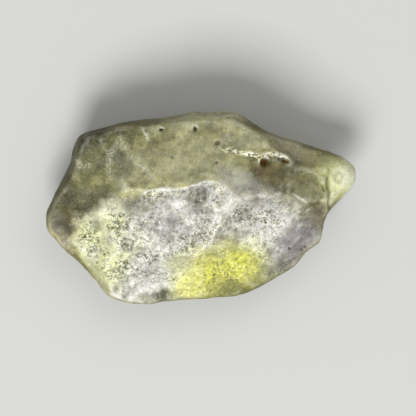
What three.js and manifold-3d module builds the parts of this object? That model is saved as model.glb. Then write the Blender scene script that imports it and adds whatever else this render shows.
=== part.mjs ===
// A piece of Libyan desert glass: natural silica glass, found loose on the sand as one wind-worn stone. Its skin
// is a net of shallow hollows that meet in worn crests, with a broken ledge, a nub of a tip and many small pits.
// It lies on a flat facet. Millimetres. +X runs to the tip, +Y to the smoother side, +Z up, z = 0 at the facet.
import * as THREE from "three";
import { mergeVertices } from "three/addons/utils/BufferGeometryUtils.js";
import Module from "manifold-3d";

// ---- driving dimensions -------------------------------------------------------------------------------------
const GIRDLE = 6.2; // height of the stone's widest line
const BLANK_TOP = 17.5; // the rounded blank, from which every hollow is cut
const BLANK_BOTTOM = -2.6;
const BLANK_FULLNESS = 2.5; // 2 gives an ellipsoid's section, more gives a boxier one
const CORNER_FADE = 0.5; // in radians, how widely the outline is smoothed at the blank's top and bottom
const FACE_SIZE = 1.6; // edge of a facet on the blank and on the large hollows
const WELD = 0.02; // corners closer than this are made one
const PITS_ON_WIND_SIDE = 54;
const PITS_ON_SMOOTH_SIDE = 8;
const PITS_BENEATH = 16;
const PIT_SPACING = 1.5;
const PIT_FACE_SHARE = 0.52; // edge of a pit's facet, as a share of its ball's radius
const PIT_RADIUS = [0.55, 1.15]; // radius of the ball that a pit is a cap of
const PIT_DEPTH = [0.14, 0.34];

// ---- solids from three.js geometry, and back ------------------------------------------------------------------
const wasm = await Module();
wasm.setup();

function solidOf(geometry, weld = 1e-5) {
  const bare = geometry.clone();
  bare.deleteAttribute("normal");
  bare.deleteAttribute("uv");
  const welded = mergeVertices(bare, weld);
  const corners = welded.index.array;
  const kept = [];
  for (let i = 0; i < corners.length; i += 3) {
    const [a, b, c] = corners.slice(i, i + 3);
    if (a !== b && b !== c && c !== a) kept.push(a, b, c);
  }
  const vertProperties = welded.attributes.position.array;
  return new wasm.Manifold(new wasm.Mesh({ numProp: 3, vertProperties, triVerts: new Uint32Array(kept) }));
}

function geometryOf(solid) {
  const { vertProperties, triVerts } = solid.getMesh();
  const geometry = new THREE.BufferGeometry();
  geometry.setAttribute("position", new THREE.BufferAttribute(vertProperties, 3));
  geometry.setIndex(new THREE.BufferAttribute(triVerts, 1));
  return geometry;
}

// A ball of even facets, which are smaller on a small ball.
function ball(centre, radius, faceSize = Math.min(FACE_SIZE, 0.2 * radius)) {
  const detail = Math.max(1, Math.round((1.05 * radius) / faceSize) - 1);
  return solidOf(new THREE.IcosahedronGeometry(radius, detail).translate(...centre));
}

// ---- the blank: a rounded body with the stone's outline ---------------------------------------------------------
// The outline seen from above, anticlockwise from the tip's far side.
const OUTLINE = [
  [20.2, 5.8], [18.6, 6.8], [13.0, 8.7], [10.0, 9.8], [5.4, 12.4], [3.2, 13.1], [1.2, 12.8], [-1.3, 12.9],
  [-3.7, 12.2], [-7.0, 12.0], [-12.4, 11.0], [-14.5, 10.7], [-16.3, 9.4], [-17.5, 7.5], [-19.0, 3.1],
  [-20.3, 0.4], [-21.0, -1.8], [-20.7, -3.5], [-17.2, -6.8], [-13.4, -11.3], [-8.6, -13.1], [-2.7, -12.4],
  [3.6, -12.0], [6.6, -11.3], [11.4, -8.7], [14.1, -6.8], [16.0, -5.2], [16.5, -1.2], [18.2, 0.8],
  [20.9, 3.4],
];
const RIM_STEPS = 600;
const rim = new THREE.CatmullRomCurve3(
  OUTLINE.map(([x, y]) => new THREE.Vector3(x, y, 0)),
  true,
  "catmullrom",
  0.5,
).getPoints(RIM_STEPS);

// How far the outline lies from the stone's upright axis, in one direction.
function rimReach(x, y) {
  const length = Math.hypot(x, y);
  for (let i = 0; i < RIM_STEPS; i += 1) {
    const [a, b] = [rim[i], rim[i + 1]];
    const aSide = x * a.y - y * a.x;
    const bSide = x * b.y - y * b.x;
    if (aSide * bSide <= 0 && aSide !== bSide && x * a.x + y * a.y > 0) {
      return a.clone().lerp(b, aSide / (aSide - bSide)).dot(new THREE.Vector3(x, y, 0)) / length;
    }
  }
  return 0;
}

// The outline's small corners fade above and below the girdle, where its reach is averaged over a wider turn.
function softReach(x, y, spread) {
  const turns = [-1, -0.5, 0, 0.5, 1].map((share) => share * spread);
  const reaches = turns.map((turn) => {
    const [c, s] = [Math.cos(turn), Math.sin(turn)];
    return rimReach(c * x - s * y, s * x + c * y);
  });
  return reaches.reduce((sum, reach) => sum + reach, 0) / turns.length;
}

function blank() {
  const geometry = new THREE.IcosahedronGeometry(1, Math.round(20 / FACE_SIZE));
  const place = geometry.attributes.position;
  for (let i = 0; i < place.count; i += 1) {
    const [x, y, z] = [place.getX(i), place.getY(i), place.getZ(i)];
    const across = Math.min(1, Math.hypot(x, y));
    if (across < 1e-6) {
      place.setXYZ(i, 0, 0, z > 0 ? BLANK_TOP : BLANK_BOTTOM);
      continue;
    }
    const reach = softReach(x, y, CORNER_FADE * Math.abs(z)) * across ** (2 / BLANK_FULLNESS);
    const height = z > 0 ? BLANK_TOP - GIRDLE : GIRDLE - BLANK_BOTTOM;
    place.setXYZ(i, (x / across) * reach, (y / across) * reach, GIRDLE + z * height);
  }
  return solidOf(geometry, 1e-4);
}

// ---- hollows: each is the dent of a ball that passes through three points of the crests -------------------------
// A large radius gives a nearly flat face, a small one a cup. side is 1 on top of the stone and -1 beneath it.
function scoop(first, second, third, radius, side = 1) {
  const [a, b, c] = [first, second, third].map((point) => new THREE.Vector3(...point));
  const ab = b.clone().sub(a);
  const ac = c.clone().sub(a);
  const normal = ab.clone().cross(ac);
  const toMiddle = normal.clone().cross(ab).multiplyScalar(ac.lengthSq());
  toMiddle.add(ac.clone().cross(normal).multiplyScalar(ab.lengthSq()));
  toMiddle.divideScalar(2 * normal.lengthSq());
  if (radius <= toMiddle.length()) throw new Error(`a ball of ${radius} can't reach ${first}`);
  normal.normalize().multiplyScalar(normal.z * side < 0 ? -1 : 1);
  const lift = Math.sqrt(radius ** 2 - toMiddle.lengthSq());
  return ball(a.add(toMiddle).addScaledVector(normal, lift).toArray(), radius);
}

// Points where the crests on top of the stone meet, as x, y, z.
const westKnee = [-13.9, -0.5, 11.0];
const ridgeWest = [-7.5, 2.2, 13.4];
const ridgeMid = [-2.0, 2.9, 14.2];
const ridgeTop = [0.6, 3.5, 14.5];
const ridgeEast = [3.3, 2.4, 14.2];
const spurTop = [5.2, 1.1, 14.0];
const ridgeEnd = [13.7, 0.5, 11.8];
const spurHigh = [2.8, -1.9, 13.0];
const spurMid = [0.6, -4.9, 11.8];
const spurLow = [0.3, -7.6, 9.9];
const spurFoot = [1.0, -12.0, 6.4];
const ribWest = [-11.2, -5.4, 10.3];
const ribMid = [-7.0, -6.3, 10.3];
const ribEast = [-3.3, -6.0, 10.9];
const forkWest = [-12.2, 7.2, 10.9];
const forkTop = [-10.8, 8.7, 10.7];
const topRib = [-7.0, 9.0, 11.2];
const bandStart = [8.2, 10.1, 10.8];
const bandMid = [11.1, 6.6, 11.7];

const TOP_SCOOPS = {
  shoulder: [[-17.2, 7.8, 8.6], [-13.4, 8.2, 10.6], [-13.8, 0.1, 11.3], 26],
  olive: [[-19.8, 0.1, 7.4], [-17.3, 5.7, 9.0], westKnee, 18],
  shoulderCup: [[-15.2, 10.2, 8.6], forkTop, forkWest, 7],
  forkCup: [forkTop, [-12.6, 5.6, 11.6], [-8.6, 5.9, 12.0], 4],
  topCup: [forkTop, topRib, [-9.2, 11.4, 9.6], 6],
  bubbleCup: [topRib, [-3.2, 7.8, 12.3], [-5.2, 11.8, 10.3], 8],
  upperWest: [[-8.0, 11.6, 10.3], ridgeWest, ridgeTop, 34],
  crownCup: [[-0.6, 11.2, 11.1], [2.6, 11.2, 10.9], [0.9, 8.9, 12.2], 4],
  upperEast: [ridgeTop, [2.8, 12.6, 10.2], bandStart, 26],
  band: [bandStart, bandMid, [18.0, 5.6, 9.0], 18],
  arch: [ridgeMid, ridgeEast, [0.3, -0.8, 13.2], 6.5],
  silver: [ridgeWest, ribMid, spurHigh, 22],
  westPitted: [westKnee, ribWest, ridgeWest, 16],
  nub: [[-19.8, -1.4, 7.6], [-16.5, -2.0, 8.6], [-18.7, -4.1, 6.6], 4.5],
  nubFace: [[-18.7, -4.5, 6.6], westKnee, ribWest, 16],
  westRim: [[-17.6, -5.8, 6.4], [-13.3, -8.0, 8.3], [-12.2, -11.4, 6.4], 14],
  lowerWest: [ribWest, ribEast, [-9.0, -12.8, 5.8], 18],
  lowerMid: [ribEast, spurLow, [-2.9, -12.2, 5.9], 10],
  lowerEast: [spurMid, spurFoot, [8.2, -7.5, 9.0], 16],
  eastSilver: [spurTop, spurMid, ridgeEnd, 22],
  eastFoot: [[8.2, -6.9, 9.0], [8.2, -10.5, 6.4], [15.6, -4.9, 6.8], 16],
  eastStrip: [ridgeEnd, [15.8, -4.5, 6.9], [16.7, 0.0, 9.4], 10],
  tipRoot: [ridgeEnd, [16.4, 3.8, 10.1], [14.0, 4.9, 11.0], 9],
};

// The upright wall on the +Y side, from above the girdle up to the top's edge.
const WALL_SCOOPS = {
  wallWest: [[-18.8, 2.6, 7.6], [-16.6, 8.4, 7.4], [-16.9, 6.0, 9.6], 15],
  wallNorthWest: [[-15.6, 9.8, 7.4], [-11.2, 11.0, 7.0], [-13.4, 10.2, 9.6], 9],
  wallNorth: [[-10.2, 11.4, 7.3], [-1.6, 12.3, 7.5], [-6.0, 11.2, 10.2], 24],
  wallCrown: [[-0.4, 12.5, 7.0], [4.4, 12.5, 7.6], [1.8, 12.0, 10.6], 12],
  wallNorthEast: [[5.4, 11.9, 7.2], [12.6, 8.4, 7.4], [8.2, 9.9, 10.6], 22],
};

// Points round the resting facet, and the hollows that rise from it to the girdle.
const footWest = [-9.5, -2.5, 0];
const footNorthWest = [-6.0, 4.2, 0];
const footNorth = [2.2, 5.4, 0];
const footEast = [8.4, 2.2, 0];
const footSouthEast = [6.6, -4.2, 0];
const footSouth = [-2.4, -6.4, 0];

const UNDER_SCOOPS = {
  underWest: [footWest, footNorthWest, [-18.4, 3.2, 4.9], 22],
  underNorthWest: [footNorthWest, [-1.6, 5.8, 0], [-7.4, 11.0, 4.6], 17],
  underNorth: [footNorth, [-1.6, 5.8, 0], [2.0, 12.0, 4.8], 12],
  underNorthEast: [footNorth, footEast, [10.6, 8.6, 4.4], 15],
  underTip: [footEast, footSouthEast, [18.6, 4.4, 5.2], 24],
  underEast: [[13.2, -1.2, 2.4], [15.4, -4.6, 4.8], [9.2, -5.2, 1.2], 9],
  underSouthEast: [footSouthEast, footSouth, [5.0, -10.8, 4.6], 16],
  underSouth: [footSouth, [-6.4, -5.2, 0], [-5.4, -12.0, 4.8], 11],
  underSouthWest: [footWest, [-6.4, -5.2, 0], [-12.8, -10.2, 4.7], 14],
  underNub: [[-13.2, -3.4, 1.6], [-17.6, -5.4, 4.7], [-19.4, -0.6, 4.6], 8],
};

// ---- the ledge and the tip: what is lost beyond a broken edge ----------------------------------------------------
// The room beyond a broken edge, as an upright block over the polygon sweep. Its walls lean, so that the edge
// keeps its lip: lean is how far a wall goes back, in X and Y, for each millimetre below the lip's height.
function beyondBreak(sweep, bottom, lipHeight, lean) {
  const shape = new THREE.Shape(sweep.map(([x, y]) => new THREE.Vector2(x, y)));
  const block = new THREE.ExtrudeGeometry(shape, { depth: 12, bevelEnabled: false }).translate(0, 0, bottom);
  const [leanX, leanY] = lean;
  block.applyMatrix4(
    new THREE.Matrix4().set(
      1, 0, -leanX, leanX * lipHeight,
      0, 1, -leanY, leanY * lipHeight,
      0, 0, 1, 0,
      0, 0, 0, 1,
    ),
  );
  return solidOf(block);
}

const LEDGE_LIP = [
  [0.6, 8.6], [1.9, 8.1], [2.8, 7.5], [4.0, 7.4], [5.2, 7.0], [6.6, 6.8], [7.7, 6.5], [8.4, 6.8], [9.6, 6.8],
  [10.7, 6.6], [11.6, 6.1], [12.6, 5.6], [13.8, 5.3],
];
const belowLedge = beyondBreak([...LEDGE_LIP, [18, 4], [18, -4], [0, -4]], GIRDLE, 12.4, [0, 0.45]);
const ledgeHollow = scoop(ridgeEast, [2.5, 7.7, 12.6], [12.6, 5.8, 11.7], 15).intersect(belowLedge);

// The tip is a rounded nub, lower than the stone beside it.
const TIP_BREAK = [[18.8, 8.0], [17.1, 5.4], [16.5, 3.7], [16.8, 1.8], [16.8, 0.4], [17.4, -0.8]];
const NUB_CENTRE = [16.8, 3.4, GIRDLE];
const NUB_RADII = [4.9, 4.2, 3.2];
const nubForm = solidOf(new THREE.IcosahedronGeometry(1, 11).scale(...NUB_RADII).translate(...NUB_CENTRE));
const beyondTipBreak = beyondBreak([...TIP_BREAK, [24, -0.8], [24, 8.0]], GIRDLE, 9.6, [-0.2, 0]);
const tipWaste = beyondTipBreak.subtract(nubForm);

// ---- named pits: [x, y], ball radius, depth ------------------------------------------------------------------------
const NAMED_PITS = {
  bubbleWest: [[-5.2, 10.3], 0.42, 0.5],
  bubbleEast: [[-0.9, 10.6], 0.42, 0.5],
  ledgeCaveWest: [[8.5, 6.0], 0.8, 0.75],
  ledgeCaveEast: [[10.8, 6.1], 0.5, 0.45],
  ledgeEnd: [[2.1, 8.4], 0.45, 0.3],
  crater: [[-10.0, -4.9], 1.5, 0.38],
  southNotch: [[-5.2, -12.0], 1.7, 0.5],
  kneeHollow: [[-13.8, -2.6], 1.9, 0.4],
};

// ---- the stone --------------------------------------------------------------------------------------------------------
let stone = blank();
for (const dent of Object.values(TOP_SCOOPS)) stone = stone.subtract(scoop(...dent));
for (const dent of Object.values(WALL_SCOOPS)) stone = stone.subtract(scoop(...dent));
for (const dent of Object.values(UNDER_SCOOPS)) stone = stone.subtract(scoop(...dent, -1));
stone = stone.subtract(ledgeHollow).subtract(tipWaste);

const skin = new THREE.Mesh(geometryOf(stone), new THREE.MeshBasicMaterial({ side: THREE.DoubleSide }));

// A pit's ball, sunk to its depth in the skin at x, y, on top (side 1) or beneath (side -1).
function pit([x, y], radius, depth, side = 1) {
  const start = new THREE.Vector3(x, y, 30 * side);
  const [hit] = new THREE.Raycaster(start, new THREE.Vector3(0, 0, -side)).intersectObject(skin);
  const centre = hit.point.addScaledVector(hit.face.normal, radius - depth);
  return ball(centre.toArray(), radius, radius * PIT_FACE_SHARE);
}

for (const hole of Object.values(NAMED_PITS)) stone = stone.subtract(pit(...hole));

// Repeatable random numbers.
let seed = 20117;
function random(low = 0, high = 1) {
  seed = (seed * 16807) % 2147483647;
  return low + ((high - low) * seed) / 2147483647;
}

// Strews small pits over a side of the stone between two values of y, apart from each other and from the rim.
function strewPits(count, side, lowY, highY) {
  const places = [];
  while (places.length < count) {
    const place = [random(-19, 17), random(lowY, highY)];
    const size = random() ** 2;
    const crowded = places.some(([x, y]) => Math.hypot(x - place[0], y - place[1]) < PIT_SPACING);
    if (crowded || Math.hypot(...place) > 0.9 * rimReach(...place)) continue;
    const radius = THREE.MathUtils.lerp(...PIT_RADIUS, size);
    const depth = THREE.MathUtils.lerp(...PIT_DEPTH, size);
    stone = stone.subtract(pit(place, radius, depth, side));
    places.push(place);
  }
}

strewPits(PITS_ON_WIND_SIDE, 1, -12, 2.6);
strewPits(PITS_ON_SMOOTH_SIDE, 1, 2.6, 12);
strewPits(PITS_BENEATH, -1, -12, 12);

// The resting facet.
const ground = solidOf(new THREE.BoxGeometry(60, 60, 20).translate(0, 0, -10));
stone = stone.subtract(ground);

const welded = geometryOf(solidOf(geometryOf(stone), WELD));
welded.computeBoundingBox();
const middle = welded.boundingBox.getCenter(new THREE.Vector3());
welded.translate(-middle.x, -middle.y, 0);

// ---- the part -----------------------------------------------------------------------------------------------------------
const glass = new THREE.MeshStandardMaterial({ color: 0xb9b58c, roughness: 0.55, metalness: 0 });
const desertGlass = new THREE.Mesh(welded, glass);
desertGlass.name = "desert_glass";

const part = new THREE.Group();
part.add(desertGlass);
export default part;
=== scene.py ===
import math

import bpy
import numpy as np
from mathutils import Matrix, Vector, noise


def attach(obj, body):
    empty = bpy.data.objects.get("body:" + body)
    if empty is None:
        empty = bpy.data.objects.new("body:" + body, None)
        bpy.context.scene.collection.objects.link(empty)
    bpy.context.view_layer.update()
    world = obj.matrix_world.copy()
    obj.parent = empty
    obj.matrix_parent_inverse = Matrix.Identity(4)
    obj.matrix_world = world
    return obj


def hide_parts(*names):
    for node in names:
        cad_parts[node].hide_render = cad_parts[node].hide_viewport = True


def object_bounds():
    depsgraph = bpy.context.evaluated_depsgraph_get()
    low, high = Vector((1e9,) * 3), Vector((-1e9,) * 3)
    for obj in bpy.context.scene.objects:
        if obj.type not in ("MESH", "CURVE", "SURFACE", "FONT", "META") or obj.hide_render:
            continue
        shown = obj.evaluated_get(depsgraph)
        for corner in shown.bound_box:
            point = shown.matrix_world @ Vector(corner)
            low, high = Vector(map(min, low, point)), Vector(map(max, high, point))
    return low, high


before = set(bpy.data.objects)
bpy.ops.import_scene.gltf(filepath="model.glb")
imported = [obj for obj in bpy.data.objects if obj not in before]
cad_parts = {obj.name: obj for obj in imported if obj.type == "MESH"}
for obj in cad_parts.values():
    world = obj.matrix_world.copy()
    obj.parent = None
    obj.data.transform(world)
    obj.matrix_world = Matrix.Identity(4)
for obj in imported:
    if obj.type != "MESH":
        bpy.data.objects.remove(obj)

cad_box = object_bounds()

# ---- The stone ---------------------------------------------------------------------------------------
# One natural piece of silica glass that lay loose in a sand desert. Blown sand cut it into hollows with worn
# crests between them, and etched the side that faced the wind. It starts as the solid's own form on a fine,
# even mesh, whose points are then moved. Nothing holds it: it rests on its broad side.

# Places on it are in millimetres, as seen from above: east is +X and north is +Y.
MM = 0.001
GRAIN = 0.19 * MM  # the spacing of the even mesh
MERGE = 0.002 * MM  # corners closer than this are one

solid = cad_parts["desert_glass"]
bpy.ops.object.select_all(action="DESELECT")
stone = bpy.data.objects.new("worn_glass", solid.data.copy())
bpy.context.scene.collection.objects.link(stone)
stone.select_set(True)
bpy.context.view_layer.objects.active = stone
bpy.ops.object.mode_set(mode="EDIT")
bpy.ops.mesh.select_all(action="SELECT")
bpy.ops.mesh.remove_doubles(threshold=MERGE)
bpy.ops.object.mode_set(mode="OBJECT")

even = stone.modifiers.new("even skin", "REMESH")
even.mode = "VOXEL"
even.voxel_size = GRAIN
bpy.ops.object.modifier_apply(modifier=even.name)


def read_points():
    """The skin's points in millimetres, a row for each."""
    flat = np.empty(3 * len(stone.data.vertices))
    stone.data.vertices.foreach_get("co", flat)
    return flat.reshape(-1, 3) / MM


def write_points(points):
    stone.data.vertices.foreach_set("co", (points * MM).ravel())
    stone.data.update()


def read_normals():
    flat = np.empty(3 * len(stone.data.vertices), np.float32)
    stone.data.vertex_normals.foreach_get("vector", flat)
    return flat.reshape(-1, 3).astype(float)


ends = np.empty(2 * len(stone.data.edges), np.int32)
stone.data.edges.foreach_get("vertices", ends)
ends = ends.reshape(-1, 2)
edge_count = np.bincount(ends.ravel(), minlength=len(stone.data.vertices))


def spread(values, rounds):
    """Averages a value, or a row of them, over each point and its neighbours, some times over."""
    rows = values.reshape(len(values), -1).astype(float)
    for _ in range(rounds):
        total = np.stack([
            np.bincount(ends[:, 0], column[ends[:, 1]], len(rows))
            + np.bincount(ends[:, 1], column[ends[:, 0]], len(rows))
            for column in rows.T
        ], axis=1)
        rows = (rows + total) / (1 + edge_count)[:, None]
    return rows.reshape(values.shape)


def eased(points, rounds):
    """The skin with its small forms worn away, and its large ones kept at full size."""
    softer = spread(points, rounds)
    return softer + spread(points - softer, rounds)


def ramp(values, low, high):
    """0 below low and 1 above high, with a soft step between. low may be the larger."""
    share = np.clip((values - low) / (high - low), 0, 1)
    return share * share * (3 - 2 * share)


def cloud(points, size, seed, octaves=3):
    """Soft noise from about -1 to 1, whose lumps are size millimetres across."""
    shift = Vector((seed * 7.31, seed * 3.77, seed * 5.19))
    return np.array([noise.fractal(Vector(p) / size + shift, 0.8, 2.1, octaves) for p in points])


def scallops(points, size, seed):
    """0 in the floors of shallow round cups that crowd the skin, up to about 1 on the crests between."""
    shift = Vector((seed * 11.3, seed * 4.1, seed * 8.7))
    return np.array([noise.voronoi(Vector(p) / size + shift)[0][0] ** 1.5 for p in points])


# A wide and a small wandering in X and Y, so that no line or patch on the stone runs true.
first = read_points()
drift = np.stack([cloud(first, size=2.4, seed=11), cloud(first, size=2.4, seed=12)], axis=1)
shake = np.stack([cloud(first, size=0.7, seed=13), cloud(first, size=0.7, seed=14)], axis=1)

LINE_DRIFT = 0.12  # how far the wide wandering moves a line
LINE_FADE = 0.5  # the share of a line's first and last stretch over which it fades
FAR_AWAY = 99.0


def beside(line, wander=0.12):
    """Where each point lies beside a bent line: how many millimetres away, on which side, and how full the
    line is there, because it fades at both its ends."""
    plan = first[:, :2] + LINE_DRIFT * drift + wander * shake
    nearest = np.full(len(plan), FAR_AWAY)
    side = np.ones(len(plan))
    walked = np.zeros(len(plan))
    for step, (start, end) in enumerate(zip(line[:-1], line[1:])):
        run = np.subtract(end, start)
        away = plan - start
        along = np.clip(away @ run / (run @ run), 0, 1)
        gap = np.linalg.norm(away - along[:, None] * run, axis=1)
        closer = gap < nearest
        nearest = np.where(closer, gap, nearest)
        side = np.where(closer, np.sign(run[0] * away[:, 1] - run[1] * away[:, 0]), side)
        walked = np.where(closer, step + along, walked)
    last = len(line) - 1.0
    full = ramp(walked, 0.0, LINE_FADE) * ramp(walked, last, last - LINE_FADE)
    return nearest, side, full


def blots(*marks, wander=0.6, core=0.2, reach=1.35):
    """How deep each point lies in soft ovals, from 0 to 1. A mark is a centre, two radii, a turn in degrees
    and a strength. It is full up to core times its radii, and gone at reach times them."""
    plan = first[:, :2] + wander * drift + 0.35 * wander * shake
    clear = np.ones(len(plan))
    for centre, radii, turn, strength in marks:
        away = plan - centre
        turned = math.radians(turn)
        along = away @ (math.cos(turned), math.sin(turned)) / radii[0]
        across = away @ (-math.sin(turned), math.cos(turned)) / radii[1]
        clear *= 1 - strength * ramp(np.hypot(along, across), reach, core)
    return 1 - clear


# The long crest. The wind came from the south of it: what lies there is etched, and the rest is smoother.
CREST = (
    (-21.7, -5.4), (-18.8, -4.4), (-17.4, -2.6), (-15.6, -1.6), (-13.9, -1.1), (-12.7, -0.7),
    (-10.2, -0.5), (-8.6, 0.8), (-7.8, 1.9), (-5.5, 2.4), (-1.9, 2.7), (0.7, 3.4), (2.9, 3.0),
    (5.3, 1.8), (8.3, 1.6), (12.0, 0.6), (16.8, -1.0),
)
CREST_SOFTNESS = (  # how far east, and how far from the crest each side is reached in full
    (-21.7, 0.8), (-17.0, 0.8), (-14.0, 0.7), (-9.0, 1.0), (-7.0, 0.4), (2.9, 0.4), (5.6, 0.7),
    (7.5, 2.6), (16.8, 2.6),
)

# The broken ledge, and the crack between the stone and its tip.
LEDGE = (
    (2.2, 8.1), (2.7, 7.9), (3.7, 7.6), (5.2, 7.2), (6.5, 7.2), (7.4, 6.9), (7.9, 6.3), (8.3, 6.7),
    (8.8, 7.1), (10.0, 7.15), (11.1, 6.85), (11.8, 6.4),
)
TIP_CRACK = ((16.6, 3.4), (16.9, 2.2), (16.8, 1.1), (16.6, -0.5))

east, north, height = first.T
past_crest = np.interp(east, *zip(*CREST)) - north + 0.35 * drift[:, 0] + 0.25 * shake[:, 0]
softness = np.interp(east, *zip(*CREST_SOFTNESS))
windward = ramp(past_crest / softness, -1.0, 1.0)

# Which way the skin faces. A value is 1 where the comment holds, and 0 elsewhere.
facing = spread(read_normals(), 12)
facing /= np.linalg.norm(facing, axis=1)[:, None]
level = facing[:, 2]
upward = ramp(level, -0.1, 0.25)  # seen from above
rim = ramp(level, 0.90, 0.6)  # sloping, or underneath
wall = ramp(level, 0.88, 0.25)  # steep, or underneath
beneath = ramp(level, -0.15, -0.5)  # underneath
steep = ramp(np.abs(level), 0.9, 0.5)  # steep alone
upright = ramp(np.abs(level), 0.7, 0.2)  # as good as upright
free = ramp(height, 0.12, 0.5)  # clear of the ground

# The side away from the wind is worn soft and its rim is worn round, and the struck side is worn less. The
# ledge and the crack at the tip stay crisp. It is roundest where the crest runs out, under the east end of
# the ledge and at the root of the tip. Then the steep skin gets back the width that all this took off it.
SOFT_ROUNDS = 60
FIRM_ROUNDS = 36
CRISP_ROUNDS = 8
ROUND_ROUNDS = 90

by_ledge = ramp(beside(LEDGE, wander=0.0)[0], 1.6, 0.5)
by_crack = ramp(beside(TIP_CRACK, wander=0.0)[0], 1.0, 0.4)
crisp = np.maximum(by_ledge, by_crack) * upward
round_skin = spread(first, ROUND_ROUNDS)
soft_skin = eased(first, SOFT_ROUNDS)
soft_skin = soft_skin + (round_skin - soft_skin) * np.clip(1.3 * spread(rim, 24)[:, None], 0, 1)
wear = windward[:, None]
skin = soft_skin * (1 - wear) + eased(first, FIRM_ROUNDS) * wear
skin += (eased(first, CRISP_ROUNDS) - skin) * crisp[:, None]
calm = blots(
    ((10.8, 1.2), (5.0, 1.6), -6, 1.0),
    ((12.6, 5.2), (1.0, 1.3), -30, 1.0),
    ((17.0, 5.4), (1.2, 1.7), 0, 1.0),
)
skin += (round_skin - skin) * calm[:, None]
lost = np.einsum("ij,ij->i", first - skin, facing)
skin += facing * spread(lost * steep, 40)[:, None]

# Low swells, so that no crest runs true, and a slightly fuller rim.
WIDE_SWELL = 0.14
NARROW_SWELL = 0.06
RIM_FULLNESS = 0.12

swell = WIDE_SWELL * cloud(first, size=4.2, seed=2) + NARROW_SWELL * cloud(first, size=1.9, seed=3)
skin = skin + facing * ((swell * (1 - 0.7 * crisp) + RIM_FULLNESS * upright) * free)[:, None]

# The crowded cups that blown sand leaves, deeper on the side that it struck, and shallow where it is quiet.
CUP_HEIGHT = 0.09
GRIT_HEIGHT = 0.05
CUP_FLOOR = 0.08  # how far the floors of the cups lie below the skin

patch = ramp(cloud(first, size=3.2, seed=4), -0.5, 0.5)
etched = (0.18 + 0.82 * windward) * (0.35 + 0.65 * patch)
quiet = blots(
    # the window of clear glass, and the nub
    ((-13.4, -3.05), (1.9, 0.8), -56, 1.0),
    ((-18.4, -2.0), (2.2, 2.4), 0, 0.8),
    # the south-west and south rims
    ((-15.35, -7.9), (4.9, 0.9), -46, 0.9),
    ((5.6, -11.0), (4.0, 1.2), 8, 0.6),
    # the lilac patch, the strip above it, and the middle of the silver glass
    ((13.2, -5.0), (4.8, 2.8), 35, 0.85),
    ((15.2, -1.0), (1.6, 2.4), 0, 0.8),
    ((-5.4, -0.9), (2.6, 1.9), 0, 0.5),
    # the hollow under the ledge, and the tip
    ((10.9, 3.9), (4.2, 2.1), -15, 0.9),
    ((18.9, 4.0), (2.8, 3.2), 0, 0.8),
    wander=0.25,
)
etched = np.maximum(etched, 0.55 * beneath) * (1 - 0.55 * wall) * (1 - 0.85 * quiet) * free
warp = np.stack([cloud(first, size=0.9, seed=seed) for seed in (21, 22, 23)], axis=1)
bent = first + 0.22 * warp
etching = CUP_HEIGHT * scallops(bent, size=1.3, seed=5) + CUP_HEIGHT * scallops(bent, size=0.7, seed=6)
etching = etching + GRIT_HEIGHT * cloud(first, size=0.45, seed=7)
skin = skin + facing * (etched * (etching - CUP_FLOOR))[:, None]

# Thin crests that stand where two worn faces meet: the line, its height and its half width in millimetres.
THIN_CRESTS = (
    # the middle of the long crest
    (((-7.8, 1.5), (-6.9, 2.2), (-5.5, 2.3), (-4.2, 2.3), (-3.1, 2.6), (-1.7, 2.6), (-0.8, 2.9), (0.4, 3.4),
      (1.8, 3.4), (2.9, 3.0), (3.7, 2.5)), 0.055, 0.20),
    # round the window of clear glass, and along the south-west rim
    (((-13.7, -0.9), (-13.3, -2.2), (-12.8, -3.5), (-12.0, -4.4), (-11.4, -4.9)), 0.09, 0.20),
    (((-10.8, -5.6), (-12.0, -6.6), (-13.1, -7.9)), 0.05, 0.22),
    (((-17.9, -4.1), (-17.0, -4.9), (-15.9, -5.7), (-14.8, -7.0), (-13.7, -8.2), (-13.1, -9.3),
      (-12.8, -10.6)), 0.03, 0.3),
    (((-13.7, -10.7), (-12.0, -11.8), (-10.2, -12.6), (-9.1, -12.9)), 0.05, 0.24),
    # from the crater to the east
    (((-9.8, -5.7), (-8.3, -5.7), (-6.9, -6.2), (-5.9, -6.2), (-4.8, -5.7), (-4.2, -5.1)), 0.08, 0.18),
    # the spur, and its faint end towards the yellow glass
    (((5.4, 1.1), (4.5, 0.3), (3.9, -0.6), (3.1, -1.7), (2.2, -2.8), (1.8, -3.6), (1.4, -4.3)), 0.08, 0.20),
    (((0.7, -4.6), (0.4, -5.6), (0.4, -6.8), (0.6, -7.8)), 0.04, 0.20),
    # short ones in the east
    (((6.9, -1.4), (8.0, -1.0), (8.8, -1.2)), 0.08, 0.2),
    (((12.3, 1.8), (13.4, 1.1), (14.5, 0.5)), 0.05, 0.2),
    (((13.8, -0.5), (14.9, 0.2)), 0.06, 0.2),
    (((10.4, -7.4), (12.2, -6.6), (13.3, -6.2), (15.0, -4.9)), 0.015, 0.2),
    # the north rim, and the root of the tip
    (((-8.1, 11.3), (-7.5, 9.9), (-6.9, 9.0)), 0.04, 0.2),
    (((13.5, 5.3), (15.3, 4.5), (16.4, 3.6)), 0.02, 0.2),
)
FULL_MARK_RISE = 0.07  # a crest this high, or higher, shows at full strength
LIP_RISE = 0.07
LIP_HALF_WIDTH = 0.3

broken = ramp(cloud(first, size=1.1, seed=31, octaves=2), -0.75, 0.1)  # 0 where a crest is worn through
lift = np.zeros(len(first))
crest_mark = np.zeros(len(first))
crest_side = np.ones(len(first))
for line, rise, half_width in THIN_CRESTS:
    gap, side, full = beside(line)
    lift = np.maximum(lift, rise * np.exp(-(gap / half_width) ** 2) * upward * broken * full)
    mark = ramp(gap, 0.8, 0.4) * full * upward * min(1.0, rise / FULL_MARK_RISE)
    closer = gap < np.abs(crest_side)
    crest_mark = np.where(closer, mark, crest_mark)
    crest_side = np.where(closer, side * gap, crest_side)

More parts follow.
